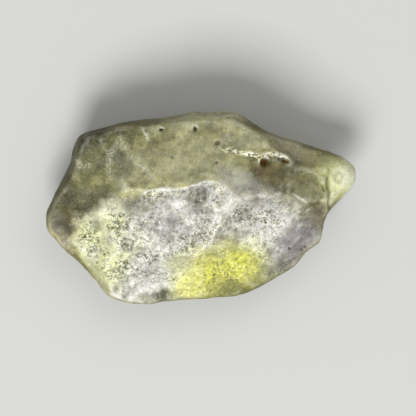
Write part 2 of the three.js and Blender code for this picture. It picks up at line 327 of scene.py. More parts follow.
lip_gap, side, full = beside(LEDGE, wander=0.25)
lip_side = side * lip_gap
lip_mark = ramp(lip_gap, 1.3, 0.8) * upward * full
lift = lift + LIP_RISE * np.exp(-(lip_gap / LIP_HALF_WIDTH) ** 2) * upward * full
skin = skin + facing * lift[:, None]

# Faint sandy veins, most of them on the worn side: the line, its strength and its half width.
VEINS = (
    (((-10.8, 9.1), (-11.6, 8.1), (-12.0, 7.2), (-12.9, 7.7), (-13.3, 9.0)), 0.7, 0.26),
    (((-10.8, 9.1), (-10.1, 8.1), (-9.5, 6.9), (-8.5, 6.0), (-7.3, 5.0), (-6.4, 4.4)), 0.6, 0.38),
    (((-12.0, 7.2), (-12.4, 5.4), (-12.0, 3.8)), 0.45, 0.5),
    (((-16.9, 6.6), (-16.3, 5.6), (-15.1, 5.4)), 0.5, 0.5),
    (((-8.1, 11.3), (-7.5, 9.9), (-6.9, 9.0)), 0.6, 0.25),
    (((-6.9, -2.2), (-5.2, -0.9), (-4.2, -0.3), (-3.5, -0.5), (-2.5, -1.2), (-1.5, -2.1)), 0.5, 0.25),
    (((-17.2, -2.0), (-15.6, -1.5), (-13.7, -1.0), (-12.7, -0.4), (-11.5, -0.6)), 0.8, 0.45),
)
vein = np.zeros(len(first))
for line, strength, half_width in VEINS:
    gap = beside(line, wander=0.3)[0]
    vein = np.maximum(vein, strength * np.exp(-(gap / half_width) ** 2) * upward)

# Burst bubbles, and the small caves under the ledge: the centre, the radius, the depth and how sandy it is.
HOLES = (
    # bubbles on the smooth side
    ((-5.23, 10.31), 0.36, 0.45, 0.0),
    ((-0.78, 10.58), 0.36, 0.45, 0.0),
    ((-3.82, 6.69), 0.24, 0.16, 0.0),
    ((2.11, 5.87), 0.24, 0.10, 0.3),
    # the ledge's west end and its caves
    ((2.24, 8.58), 0.44, 0.12, 0.35),
    ((8.46, 6.08), 0.60, 0.45, 1.0),
    ((9.14, 6.71), 0.22, 0.20, 0.6),
    ((10.45, 6.50), 0.30, 0.30, 0.2),
    ((10.98, 6.36), 0.36, 0.34, 0.3),
    ((11.50, 6.14), 0.34, 0.30, 0.7),
    # bubbles in the lilac patch
    ((13.60, -5.75), 0.24, 0.14, 0.0),
    ((14.10, -5.40), 0.22, 0.14, 0.0),
    ((11.90, -5.54), 0.22, 0.16, 0.0),
)
HOLE_SHAKE = 0.12
DARK_DEPTH = 0.3  # a hole this deep, or deeper, gets its full painted shade, and one as deep as LIT_DEPTH gets a full painted highlight on its rim
LIT_DEPTH = 0.4

# Each hole gets painted shade inside, darker the deeper it is, and a painted highlight on its far rim, where
# the light falls.
hole_mark = np.zeros(len(first))
sand_mark = np.zeros(len(first))
rim_highlight = np.zeros(len(first))
for centre, radius, depth, sandy in HOLES:
    away = (first[:, :2] + HOLE_SHAKE * shake - centre) / radius
    from_hole = np.linalg.norm(away, axis=1)
    bowl = np.clip(1 - from_hole ** 2, 0, 1) ** 0.8 * upward
    skin = skin - facing * (depth * bowl)[:, None]
    darkness = 0.5 + 0.5 * min(1, depth / DARK_DEPTH)
    hole_mark = np.maximum(hole_mark, ramp(from_hole, 1.0, 0.55) * upward * darkness)
    sand_mark = np.maximum(sand_mark, sandy * ramp(from_hole, 1.15, 0.6) * upward)
    far_side = ramp(0.3 * away[:, 0] + away[:, 1], 0.2, 0.9)
    lit_rim = np.exp(-((from_hole - 1.05) / 0.25) ** 2) * far_side * upward
    rim_highlight = np.maximum(rim_highlight, lit_rim * min(1, depth / LIT_DEPTH))

# One wide shallow crater with a broken dark rim, which is darkest in the east.
CRATER = (-9.86, -4.95)
CRATER_RADIUS = 0.95
CRATER_DEPTH = 0.14
CRATER_SHAKE = 0.42
CRATER_RIM = 0.82
CRATER_RIM_WIDTH = 0.13

from_crater = np.linalg.norm(first[:, :2] + CRATER_SHAKE * shake - CRATER, axis=1)
bowl = np.clip(1 - (from_crater / CRATER_RADIUS) ** 2, 0, 1) ** 0.6 * upward
skin = skin - facing * (CRATER_DEPTH * bowl)[:, None]
in_the_east = ramp(shake[:, 0] - 0.5 * (east - CRATER[0]), 0.4, -0.3)
crater_rim = np.exp(-((from_crater - CRATER_RIM) / CRATER_RIM_WIDTH) ** 2) * (0.25 + 0.75 * in_the_east)
hole_mark = np.maximum(hole_mark, crater_rim * upward)

# A faint worn ring on the tip.
RING = (18.5, 4.0)
RING_RADII = (1.0, 1.25)
RING_LINE = 0.50  # where its line runs, and how wide it is, as shares of the radii
RING_LINE_WIDTH = 0.18

from_ring = np.linalg.norm((first[:, :2] + 0.15 * shake - RING) / RING_RADII, axis=1)
ring = 0.5 * np.exp(-((from_ring - RING_LINE) / RING_LINE_WIDTH) ** 2) * upward
hole_mark = np.maximum(hole_mark, ring)

# The stone stays inside the solid's box.
lowest, highest = np.array(cad_box) / MM
write_points(np.clip(skin, lowest, highest))

for face_part in stone.data.polygons:
    face_part.use_smooth = True

# How far each point stands out of the skin around it, which the finish needs to know.
FULL_RELIEF = 0.04
relief = np.einsum("ij,ij->i", skin - spread(skin, 8), read_normals())


def keep(name, values):
    """Keeps a value for each point on the mesh, where the material can read it by its name."""
    layer = stone.data.attributes.new(name, "FLOAT", "POINT")
    layer.data.foreach_set("value", np.clip(values, -1, 1).astype(np.float32))


keep("windward", windward)
keep("relief", relief / FULL_RELIEF * (1 - hole_mark))
keep("etched", etched)
keep("quiet", quiet)
keep("crest", crest_mark)
keep("crest_side", crest_side)
keep("vein", vein)
keep("lip", lip_mark)
keep("lip_side", lip_side)
keep("hole", hole_mark)
keep("sand", sand_mark)
keep("rim", rim_highlight)

# Where the fine folds of the etched skin crowd together.
crowded = blots(
    # along the long crest and the spur
    ((-6.2, 1.5), (1.9, 0.9), 10, 1.0),
    ((-1.9, 2.5), (0.9, 0.7), 0, 0.9),
    ((2.7, 2.4), (1.2, 1.0), 0, 0.7),
    ((0.3, -3.9), (1.6, 1.2), 0, 0.9),
    ((-2.5, -5.2), (1.6, 1.3), 0, 1.0),
    # the lower hollows and the yellow glass
    ((-6.2, -6.6), (2.6, 1.1), 0, 0.5),
    ((2.9, -8.9), (2.6, 1.5), 0, 0.4),
    # the cream glass, and the crater
    ((-14.9, -4.2), (1.6, 2.2), -30, 0.50),
    ((-11.2, -2.2), (1.7, 2.6), 25, 0.75),
    ((-11.4, -8.2), (2.2, 1.3), 0, 0.9),
    ((-9.86, -4.95), (1.0, 1.0), 0, 0.7),
    # the east, and behind the ledge's west end
    ((5.7, -0.8), (1.3, 1.4), 0, 0.6),
    ((14.4, -0.2), (1.0, 0.9), 0, 0.8),
    ((8.6, -1.4), (2.4, 1.2), 0, 0.4),
    ((3.7, 9.2), (0.9, 0.9), 0, 0.5),
)
keep("crowd", (0.2 * windward + crowded) * upward * (1 - 0.85 * quiet))

# Where painted shade darkens the glass: in its hollows and dips, under the ledge, beside the veins, along
# its rims and on the nub.
keep("painted_shade", blots(
    # the nub at the west end, and the glass behind it
    ((-17.9, -2.3), (1.9, 1.7), 0, 1.0),
    ((-19.6, -1.8), (2.3, 2.7), 0, 0.80),
    ((-16.6, -0.3), (2.8, 0.9), 12, 0.7),
    ((-17.6, 0.6), (3.6, 2.2), 0, 0.7),
    ((-17.4, 2.2), (2.0, 2.6), -20, 0.35),
    ((-18.2, 3.4), (1.4, 3.6), -22, 0.45),
    # the saddle north of the west knee
    ((-14.0, 1.1), (2.6, 0.8), 38, 0.5),
    ((-12.6, 2.0), (1.3, 1.2), 0, 0.5),
    ((-11.6, 2.2), (1.1, 1.8), 0, 0.5),
    # the window of clear glass beside the west crest, and the crater
    ((-13.8, -2.3), (0.7, 1.0), -30, 0.35),
    ((-14.2, -2.4), (0.7, 1.0), 0, 0.35),
    ((-9.85, -4.9), (0.9, 0.9), 0, 0.45),
    # the north-west shoulder and corner, and between the veins
    ((-16.0, 8.0), (4.2, 3.0), 60, 0.85),
    ((-14.6, 5.4), (2.0, 1.6), 0, 0.4),
    ((-13.0, 10.2), (3.4, 1.5), 14, 0.7),
    ((-13.4, 10.6), (2.8, 1.3), 14, 0.5),
    ((-10.1, 9.6), (0.8, 1.6), 30, 0.5),
    ((-9.6, 10.4), (1.4, 0.9), 0, 0.3),
    ((-13.2, 5.6), (0.8, 1.1), 0, 0.45),
    ((-11.0, 6.8), (0.7, 0.9), 0, 0.45),
    ((-11.6, 7.6), (1.6, 1.2), 0, 0.4),
    # the north side
    ((-5.4, 8.9), (2.2, 2.0), 0, 0.25),
    ((1.0, 10.5), (1.6, 1.2), 0, 0.25),
    ((0.0, 4.0), (1.6, 0.8), 0, 0.5),
    # the arch under the long crest, and the silver glass west of it
    ((-0.4, 1.3), (1.8, 1.9), 0, 0.95),
    ((-0.6, 1.0), (1.7, 1.5), 0, 0.6),
    ((-8.2, -0.1), (2.6, 1.4), 0, 0.8),
    ((-3.7, -1.9), (1.8, 1.2), 0, 0.3),
    # the foot of the spur, and the silver glass east of it
    ((-0.2, -4.4), (1.2, 1.0), 0, 0.4),
    ((2.2, -6.2), (1.4, 0.9), 0, 0.4),
    ((6.3, -1.2), (1.1, 0.9), 0, 0.5),
    # the ledge, its caves and the hollow under it
    ((8.6, 6.0), (1.3, 1.0), 0, 0.5),
    ((11.6, 5.5), (1.6, 1.0), -20, 0.5),
    ((12.6, 5.2), (0.8, 1.0), 0, 0.5),
    ((10.6, 7.8), (2.6, 0.5), -45, 0.35),
    ((10.8, 3.6), (4.2, 2.2), -15, 0.42),
    ((8.4, 5.0), (4.4, 1.4), -5, 0.25),
    # the east end: where the crest runs out, the root of the tip, and the strip below it
    ((11.3, 1.9), (2.2, 1.2), -10, 0.7),
    ((12.2, 1.6), (2.0, 1.0), -15, 0.5),
    ((14.6, 4.6), (1.8, 1.2), 0, 0.5),
    ((15.4, -1.0), (1.8, 3.2), 0, 0.8),
    # the lilac patch and the rim below it
    ((11.8, -4.4), (1.5, 1.3), 0, 0.25),
    ((13.6, -4.4), (3.4, 2.4), 35, 0.3),
    ((9.6, -7.5), (1.8, 2.2), 20, 0.6),
    ((10.8, -8.4), (4.8, 1.4), 33, 0.55),
    # the south rim with its notch, and the hollow above it
    ((4.4, -11.4), (5.6, 2.2), 8, 0.95),
    ((6.4, -10.2), (3.8, 1.5), 12, 0.25),
    ((-5.2, -12.3), (2.7, 1.3), 0, 1.0),
    ((-5.0, -12.4), (1.6, 0.8), 0, 0.6),
    ((-5.4, -11.7), (2.1, 1.1), 0, 0.95),
    ((-9.4, -12.6), (4.5, 0.8), 0, 0.45),
    ((-7.6, -9.2), (1.0, 0.7), 0, 0.3),
    # the south-west rim
    ((-15.6, -8.2), (4.8, 0.9), -46, 0.6),
    ((-16.6, -7.4), (4.4, 1.0), -54, 0.85),
))

# Where thin brown dust dims the skin: under the ledge, on the nub, by the south-west rim, in the east and
# on the band behind the ledge.
keep("stain", blots(
    ((8.3, 5.2), (1.9, 1.2), -10, 0.8),
    ((10.8, 3.8), (3.6, 1.8), -15, 0.3),
    ((-18.6, -2.2), (2.6, 2.6), 0, 0.6),
    ((-16.2, -8.0), (4.6, 0.9), -50, 0.45),
    ((15.6, -0.6), (1.6, 2.6), 0, 0.35),
    ((13.0, 6.9), (4.6, 1.3), -24, 0.35),
))

# Where the floors of the fine pits are rusty: along the crest, at the foot of the spur and in the east.
keep("rusty", blots(
    ((-6.6, 1.6), (2.6, 0.7), 12, 0.8),
    ((2.4, 2.4), (1.8, 0.8), -20, 0.8),
    ((5.4, 1.6), (1.2, 0.5), 0, 1.0),
    ((2.6, -4.0), (2.4, 1.4), 20, 0.8),
    ((-0.4, -3.4), (2.2, 1.2), 0, 0.5),
    ((13.8, 1.0), (1.6, 1.2), 0, 0.6),
    ((14.4, 6.4), (2.6, 0.8), -24, 0.6),
))

# Where the olive glass is paler.
keep("pale", blots(
    # the middle of the smooth side
    ((-1.5, 6.6), (6.2, 3.4), 0, 0.9),
    ((4.4, 3.8), (2.6, 2.0), -20, 1.0),
    ((2.0, 5.2), (1.8, 1.4), 0, 0.7),
    ((-6.0, 4.6), (3.4, 1.8), 5, 0.6),
    ((-7.6, 4.0), (2.6, 1.4), 10, 0.6),
    ((-4.6, 3.9), (3.2, 1.2), 0, 0.6),
    # its west part
    ((-16.4, 5.4), (1.6, 1.0), 0, 0.5),
    ((-9.6, 5.8), (1.8, 1.2), 0, 0.5),
    # its north rim
    ((-2.8, 10.7), (2.6, 1.5), 0, 0.6),
    ((4.6, 9.7), (2.8, 1.8), 0, 0.3),
    ((3.4, 11.7), (3.6, 1.2), -12, 0.8),
    ((2.2, 11.4), (1.6, 0.9), 0, 0.6),
    # above the ledge, the band behind it, and the end of the crest
    ((7.2, 7.9), (2.4, 0.9), -20, 0.7),
    ((6.6, 8.8), (2.4, 1.1), -30, 0.8),
    ((14.0, 6.4), (3.2, 1.4), -24, 0.9),
    ((12.2, 7.8), (4.4, 1.1), -24, 0.9),
    ((13.8, 2.2), (1.8, 1.2), 0, 0.6),
))

# Where the glass is cream: the pitted glass in the west, the nub and round the yellow glass. On the nub's
# south-west edge the cream is a painted highlight, and on the tip a painted glow of light coming through the
# thin glass.
cream = blots(
    ((-11.8, -1.8), (2.6, 2.6), 20, 0.95),
    ((-15.2, -4.0), (3.2, 2.4), -45, 0.95),
    ((-16.6, -6.4), (2.6, 1.4), -50, 0.9),
    ((-12.4, -7.8), (3.2, 4.0), -35, 0.9),
    ((-8.6, -4.6), (2.0, 2.0), 0, 0.4),
    ((-6.0, 1.7), (2.4, 0.7), 8, 0.3),
    ((-2.8, -10.0), (2.6, 2.2), 0, 0.7),
    wander=0.35,
)
cream *= 0.15 + 0.85 * windward
# On the nub: cream glass, and a painted highlight along its south-west edge.
nub_cream_and_edge_highlight = blots(((-20.5, -3.6), (0.5, 1.3), 20, 0.6), ((-18.8, -2.2), (2.8, 2.6), 0, 0.50), wander=0.1)
cream_by_yellow = blots(((1.5, -8.6), (7.5, 4.4), 8, 0.45), ((7.6, -5.4), (1.7, 1.7), 0, 0.5))
# On the tip and its root: a cream painted glow of light coming through the thin glass.
tip_glow = blots(((18.9, 4.1), (3.4, 3.2), 0, 1.0), ((16.4, 5.4), (2.2, 1.2), -15, 0.6))
cream = np.maximum.reduce([cream, nub_cream_and_edge_highlight, cream_by_yellow, tip_glow])
keep("cream", cream)

# Steep glass and the underside get painted shade, where the light falls off towards the rim. Cream glass and
# some edges are spared, and the nub is in painted shade all over.
lit_edge = blots(
    ((12.2, 7.8), (5.0, 1.4), -24, 0.9),
    ((-16.3, -8.8), (5.6, 0.7), -46, 0.55),
    ((0.4, 12.6), (8.8, 1.8), 0, 0.9),
    ((19.8, 3.4), (2.4, 3.8), 0, 0.8),
)
nub_shade = blots(((-18.5, -2.1), (1.8, 1.7), 0, 0.66), ((-19.0, -1.2), (2.2, 2.2), 0, 0.3), wander=0.2)
keep("wall", np.maximum(wall * (1 - 0.5 * cream) * (1 - lit_edge), nub_shade))

# Where it is sulphur yellow, in the south, and where a lilac cast of light is painted on: in the east, and
# faintly in three places.
keep("yellow", blots(
    ((4.6, -7.6), (4.0, 3.1), 22, 1.0),
    ((0.0, -9.6), (3.0, 3.6), 0, 1.0),
    ((3.8, -10.9), (6.0, 2.2), 7, 1.0),
    ((-2.8, -9.8), (2.0, 2.8), 0, 0.4),
    reach=1.55,
))
keep("lilac_light", blots(
    ((13.0, -4.4), (3.8, 2.8), 35, 1.0),
    ((-4.0, -1.6), (3.6, 2.2), 0, 0.4),
    ((-6.0, -9.0), (2.8, 2.0), 0, 0.4),
    ((8.4, 1.4), (4.0, 1.8), -10, 0.5),
))

# Where it is milky white.
keep("white", blots(
    # east of the spur
    ((10.0, -2.5), (3.2, 1.1), 25, 1.0),
    ((8.4, -1.0), (3.0, 2.0), 20, 0.8),
    ((9.6, -4.2), (1.9, 1.4), 0, 0.7),
    ((7.4, -5.4), (1.6, 1.6), 0, 0.6),
    ((9.0, -0.8), (2.4, 1.1), 10, 0.8),
    ((7.8, -4.3), (3.2, 1.6), 10, 0.8),
    # the top of the spur, and the smooth side above it
    ((5.0, 0.8), (1.8, 1.5), 0, 0.8),
    ((4.2, -0.4), (1.2, 1.2), 0, 0.6),
    ((4.4, 1.4), (2.2, 1.4), 0, 0.8),
    ((3.8, 3.6), (2.2, 1.6), -30, 0.6),
    ((5.4, 3.5), (3.0, 1.4), -15, 0.6),
    # west of the spur, and in the cream glass
    ((-2.6, -4.2), (1.4, 1.0), 0, 0.6),
    ((-6.4, -4.6), (3.2, 1.6), -20, 0.4),
    ((-9.0, -3.4), (1.5, 1.5), 0, 0.4),
    ((-11.8, -2.2), (1.3, 1.7), 0, 0.4),
    ((-15.4, -5.4), (2.4, 1.3), -40, 0.45),
    # the lower west hollow and the glass above the notch
    ((-7.2, -6.9), (1.8, 1.6), 0, 0.9),
    ((-9.6, -8.2), (1.6, 1.3), 0, 0.5),
    ((-7.4, -11.2), (1.8, 0.8), 10, 0.8),
    ((-5.4, -10.2), (2.2, 1.4), 0, 0.9),
    ((-4.6, -9.8), (1.5, 1.8), 0, 0.7),
    ((-3.6, -9.4), (1.3, 1.1), 0, 0.6),
    # between the notch and the yellow glass
    ((-0.6, -10.2), (1.6, 2.0), 0, 0.25),
    ((-1.9, -8.3), (2.0, 1.3), 0, 0.55),
    ((-1.9, -7.2), (1.1, 1.0), 0, 0.6),
    # the tip, where the white is a painted glow of light coming through the thin glass, and the band behind
    # the ledge
    ((19.2, 4.2), (2.4, 2.8), 0, 0.75),
    ((20.2, 4.2), (1.0, 2.4), 0, 0.85),
    ((11.6, 7.8), (2.6, 0.8), -24, 0.15),
))

# The glass of the stone, whose colours and marks are laid over each other in turn.
glass = bpy.data.materials.new("desert_glass")
glass.use_nodes = True
nodes = glass.node_tree.nodes
links = glass.node_tree.links
shader = nodes["Principled BSDF"]
output = nodes["Material Output"]

# The colour sockets of a Mix node, whose other sockets have the same names.
MIX_FIRST = 6
MIX_SECOND = 7
MIX_RESULT = 2


def node(kind, **settings):
    made = nodes.new(kind)
    for name, value in settings.items():
        setattr(made, name, value)
    return made


def plug(source, target):
    """Links a node or a socket to a socket, or sets the socket to a plain value."""
    if hasattr(source, "outputs"):
        source = source.outputs[0]
    if isinstance(source, (int, float, tuple)):
        target.default_value = source
    else:
        links.new(source, target)


def sums(operation, *values, clamp=False):
    made = node("ShaderNodeMath", operation=operation, use_clamp=clamp)
    for value, socket in zip(values, made.inputs):
        plug(value, socket)
    return made


def times(first_value, second_value):
    return sums("MULTIPLY", first_value, second_value)


def rest_of(value, clamp=False):
    return sums("SUBTRACT", 1.0, value, clamp=clamp)


def stepped(value, low, high, to_low=0.0, to_high=1.0):
    """to_low below low and to_high above high, with a soft step between. low may be the larger."""
    made = node("ShaderNodeMapRange", interpolation_type="SMOOTHSTEP")
    for item, socket in zip((value, low, high, to_low, to_high), made.inputs):
        plug(item, socket)
    return made


def tinted(share, first_colour, second_colour, blend="MIX"):
    """The first colour, with a share of the second over it."""
    made = node("ShaderNodeMix", data_type="RGBA", blend_type=blend)
    plug(share, made.inputs["Factor"])
    for value, socket in ((first_colour, made.inputs[MIX_FIRST]), (second_colour, made.inputs[MIX_SECOND])):
        plug((*value, 1.0) if isinstance(value, tuple) else value, socket)
    return made.outputs[MIX_RESULT]


def filtered(under, filter_colour):
    return tinted(1.0, under, filter_colour, "MULTIPLY")


def attribute(name):
    return node("ShaderNodeAttribute", attribute_name=name).outputs["Fac"]


# Every pattern is laid out in millimetres in the stone's own frame.
place = node("ShaderNodeVectorMath", operation="SCALE")
plug(node("ShaderNodeTexCoord").outputs["Object"], place.inputs[0])
place.inputs["Scale"].default_value = 1 / MM


def mottle(size, detail=3.0, rough=0.55, warp=0.0):
    """Noise about 0.5, whose lumps are size millimetres across."""
    made = node("ShaderNodeTexNoise")
    plug(place, made.inputs["Vector"])
    made.inputs["Scale"].default_value = 1 / size
    made.inputs["Detail"].default_value = detail
    made.inputs["Roughness"].default_value = rough
    made.inputs["Distortion"].default_value = warp
    return made.outputs["Fac"]


wind = attribute("windward")
etch = attribute("etched")
painted_shade_here = attribute("painted_shade")
crowd = attribute("crowd")
relief_here = attribute("relief")

# The body's colour: olive on the worn side and silver on the struck one, partly the smooth and the frosted
# glass's own colours and partly painted shade on the side turned from the light and painted light on the
# side turned to it; then each kind of glass over it. A patch is how wide a colour's patches are, in
# millimetres. A share is how strongly it covers the others.
OLIVE_DEEP = (0.235, 0.22, 0.08)
OLIVE_PALE = (0.48, 0.46, 0.21)
OLIVE_PATCH = 2.6
HAZE = (0.36, 0.37, 0.26)
HAZE_PATCH = 3.6
SILVER_DEEP = (0.45, 0.44, 0.38)
SILVER_PALE = (0.93, 0.93, 0.87)
SILVER_PATCH = 1.3
OLIVE_VEIL = (0.72, 0.70, 0.44)
VEIL_SHARE = 0.7
CREAM = (0.91, 0.95, 0.44)
CREAM_SHARE = 0.9
LILAC_LIGHT = (0.33, 0.285, 0.35)
LILAC_LIGHT_SHARE = 0.85
YELLOW = (0.66, 0.65, 0.02)
YELLOW_PALE = (0.95, 0.96, 0.16)
YELLOW_PATCH = 0.9
WHITE = (0.92, 0.92, 0.90)
WHITE_SHARE = 0.6
PAINTED_SHADE = (0.20, 0.20, 0.12)  # what the painted shade leaves of the colour under it

olive_here = stepped(mottle(OLIVE_PATCH, detail=6.0, rough=0.62), 0.40, 0.60)
silver_here = stepped(mottle(SILVER_PATCH, detail=6.0, rough=0.72), 0.38, 0.62)
yellow_here = stepped(mottle(YELLOW_PATCH, detail=5.0, rough=0.65), 0.34, 0.66)
worn_side = tinted(olive_here, OLIVE_DEEP, OLIVE_PALE)
hazy = stepped(mottle(HAZE_PATCH, detail=4.0, rough=0.6, warp=0.5), 0.48, 0.62, 0.0, 0.50)
worn_side = tinted(hazy, worn_side, HAZE)
struck_side = tinted(silver_here, SILVER_DEEP, SILVER_PALE)
sulphur = tinted(yellow_here, YELLOW, YELLOW_PALE)
colour = tinted(wind, worn_side, struck_side)
colour = tinted(times(attribute("pale"), VEIL_SHARE), colour, OLIVE_VEIL)
colour = tinted(times(attribute("cream"), CREAM_SHARE), colour, CREAM)
colour = tinted(times(attribute("lilac_light"), LILAC_LIGHT_SHARE), colour, LILAC_LIGHT)
colour = tinted(attribute("yellow"), colour, sulphur)
colour = tinted(times(attribute("white"), WHITE_SHARE), colour, WHITE)
colour = tinted(painted_shade_here, colour, filtered(colour, PAINTED_SHADE))

# Fine crinkles from the sand, thick here and thin there: painted shade in their floors and painted glints on
# their crests.
CRINKLE = 0.34
GLINT_GRAIN = 0.28
ETCHED_PATCH = 1.7
GLINT = (1.0, 1.0, 0.95)
YELLOW_GLINT = (1.0, 1.0, 0.28)
PIT_SHADE = (0.16, 0.13, 0.05)  # the painted shade in a floor: what it leaves of the colour under it
RUST = (0.34, 0.20, 0.05)  # and in a rusty floor

crinkle = mottle(CRINKLE, detail=2.0, rough=0.6, warp=1.0)
glint = mottle(GLINT_GRAIN, detail=2.0, rough=0.6, warp=0.8)
thick = stepped(mottle(ETCHED_PATCH, detail=3.0, rough=0.65), 0.38, 0.60, 0.35, 1.0)
etch_here = times(times(etch, thick), rest_of(times(painted_shade_here, 0.7)))
rare = times(rest_of(etch_here), 0.085)
dense = times(attribute("cream"), 0.014)
shade_fleck = stepped(sums("SUBTRACT", sums("ADD", crinkle, rare), dense), 0.482, 0.435)
glint_fleck = stepped(sums("SUBTRACT", glint, rare), 0.535, 0.585)
strong = stepped(etch_here, 0.0, 0.7, 0.07, 0.80)
calmer = times(strong, rest_of(times(attribute("yellow"), 0.6)))
# The colour in painted shade, browner where the floors are rusty. The dark powder further on is this colour
# too.
dim = filtered(colour, tinted(attribute("rusty"), PIT_SHADE, RUST))
glint_colour = tinted(attribute("yellow"), GLINT, YELLOW_GLINT)
colour = tinted(times(shade_fleck, calmer), colour, dim)
colour = tinted(times(glint_fleck, strong), colour, glint_colour)

# Folds: thin winding lines where a noise passes its middle value, kept short by a second noise, and specks.
# Painted shade fills the fold floors and the specks, and painted glints lie on the fold crests.
FOLD = 0.75
FOLD_LENGTH = 0.55
FOLD_GLINT_SHARE = 0.5
FOLD_SHADE_SHARE = 0.92
OLIVE_FOLD_SHADE = (0.105, 0.11, 0.0)
SPECK = 0.60

from_fold = sums("ABSOLUTE", sums("SUBTRACT", mottle(FOLD, detail=2.0, rough=0.5, warp=0.9), 0.5))
short = sums("ADD", mottle(FOLD_LENGTH, detail=2.0, rough=0.6), times(crowd, 0.20))
folds = times(stepped(short, 0.57, 0.62), stepped(crowd, 0.0, 0.3))
speck = sums("SUBTRACT", mottle(SPECK, detail=2.0, rough=0.6, warp=0.8), times(crowd, 0.03))
speck = stepped(speck, 0.40, 0.36)
fold_floor = times(stepped(from_fold, 0.050, 0.022), folds)
fold_floor = sums("MAXIMUM", fold_floor, times(speck, stepped(crowd, 0.1, 0.6)))
fold_crest_glint = times(stepped(from_fold, 0.11, 0.06), folds)
colour = tinted(times(fold_crest_glint, FOLD_GLINT_SHARE), colour, glint_colour)
colour = tinted(times(fold_floor, FOLD_SHADE_SHARE), colour, tinted(attribute("cream"), dim, OLIVE_FOLD_SHADE))

# Cloudy patches that spare the cream and the white glass, a fine dark grain, and powder that is finer still
# and thins out in the quiet places.
CLOUDY_PATCH = 1.3
SHADE = (0.60, 0.61, 0.60)  # what these clouds let through
FINE_GRAIN = 0.6
DARK_GRAIN = (0.10, 0.10, 0.05)
POWDER_GRAIN = 0.24
OLIVE_GRAIN = (0.74, 0.70, 0.48)

spared = sums("MAXIMUM", attribute("cream"), attribute("white"))
clouds = stepped(mottle(CLOUDY_PATCH, detail=4.0, rough=0.65, warp=0.6), 0.42, 0.56, 0.45, 0.0)
cloudy_here = times(clouds, rest_of(spared, clamp=True))
colour = tinted(cloudy_here, colour, filtered(colour, SHADE))
fine = mottle(FINE_GRAIN, detail=5.0, rough=0.7)
colour = tinted(stepped(fine, 0.3, 0.6, 0.3, 0.0), colour, DARK_GRAIN)
powder = mottle(POWDER_GRAIN, detail=2.0, rough=0.6)
grainy = rest_of(times(attribute("quiet"), 0.75))
colour = tinted(times(stepped(powder, 0.50, 0.62, 0.0, 0.18), grainy), colour, OLIVE_GRAIN)
colour = tinted(times(stepped(powder, 0.50, 0.38, 0.0, 0.17), grainy), colour, dim)

# The brown dust, and the sand in the veins.
STAIN = (0.95, 0.70, 0.52)  # what the dust lets through
VEIN_SAND = (0.88, 0.87, 0.66)

colour = tinted(attribute("stain"), colour, filtered(colour, STAIN))
vein_here = times(attribute("vein"), stepped(powder, 0.40, 0.56, 0.10, 0.85))
colour = tinted(vein_here, colour, VEIN_SAND)

# Small round pits with painted shade in them, strongest in the cream glass.
PIT_SPACING = 0.8

cups = node("ShaderNodeTexVoronoi")
plug(place, cups.inputs["Vector"])
cups.inputs["Scale"].default_value = 1 / PIT_SPACING
chosen = node("ShaderNodeSeparateColor")
plug(cups.outputs["Color"], chosen.inputs[0])
pits = times(stepped(cups.outputs["Distance"], 0.36, 0.20), stepped(chosen, 0.35, 0.45))
pitted = times(stepped(etch_here, 0.15, 0.6), stepped(attribute("cream"), 0.2, 0.8, 0.3, 0.9))
colour = tinted(times(pits, pitted), colour, dim)

# Lighter highs and painted shade in the lows, a painted highlight along the thin crests, and the ledge's lip
# with its sugary grains and dark dots.
RAISED_TINT = (0.92, 0.92, 0.84)
EDGE_HIGHLIGHT = (0.90, 0.90, 0.80)
LINE_WOBBLE = 0.5
SUGAR_GRAIN = 0.30
LIP_GRAIN = (0.95, 0.94, 0.66)
LIP_DOT = (0.05, 0.035, 0.01)
LIP_DOT_SHARE = 0.9

colour = tinted(stepped(relief_here, 0.2, 1.0, 0.0, 0.16), colour, RAISED_TINT)
colour = tinted(stepped(relief_here, -0.1, -1.0, 0.0, 0.3), colour, dim)
wobble = times(sums("SUBTRACT", mottle(LINE_WOBBLE, detail=3.0, rough=0.6), 0.5), 0.45)
from_crest = sums("ABSOLUTE", sums("ADD", attribute("crest_side"), wobble))
crest_line = times(stepped(from_crest, 0.11, 0.03), stepped(glint, 0.38, 0.54, 0.40, 0.95))
crest_glow = stepped(from_crest, 0.5, 0.1, 0.0, 0.16)
crest_highlight = times(attribute("crest"), sums("MAXIMUM", crest_line, crest_glow))
colour = tinted(crest_highlight, colour, EDGE_HIGHLIGHT)
from_lip = sums("ABSOLUTE", sums("ADD", attribute("lip_side"), wobble))
lip_band = times(stepped(from_lip, 0.34, 0.12), attribute("lip"))
sugar = mottle(SUGAR_GRAIN, detail=2.0, rough=0.6)
lip_grains = times(lip_band, stepped(sugar, 0.44, 0.52))
lip_dots = times(lip_band, stepped(sugar, 0.42, 0.36))
colour = tinted(lip_grains, colour, LIP_GRAIN)
colour = tinted(times(lip_dots, LIP_DOT_SHARE), colour, LIP_DOT)

# Holes with a painted highlight on their far rims, painted shade inside them and caught sand, and last the
# painted shade on steep glass.
RIM_SHARE = 0.5
HOLE_FLOOR = (0.05, 0.045, 0.02)
HOLE_SHARE = 0.85
SAND = (0.27, 0.155, 0.03)
SAND_SHARE = 0.9
STEEP_SHADE = (0.34, 0.32, 0.16)  # what the painted shade on steep glass leaves of the colour under it

colour = tinted(times(attribute("rim"), RIM_SHARE), colour, EDGE_HIGHLIGHT)
colour = tinted(times(attribute("hole"), HOLE_SHARE), colour, HOLE_FLOOR)
colour = tinted(times(attribute("sand"), SAND_SHARE), colour, SAND)
colour = tinted(attribute("wall"), colour, filtered(colour, STEEP_SHADE))
plug(colour, shader.inputs["Base Color"])

# Frosted by the sand, most where it struck, where the glass is steep and where it lies in painted shade.
# Light goes into it for a few millimetres, and is scattered there.
FROST_PATCH = 0.5

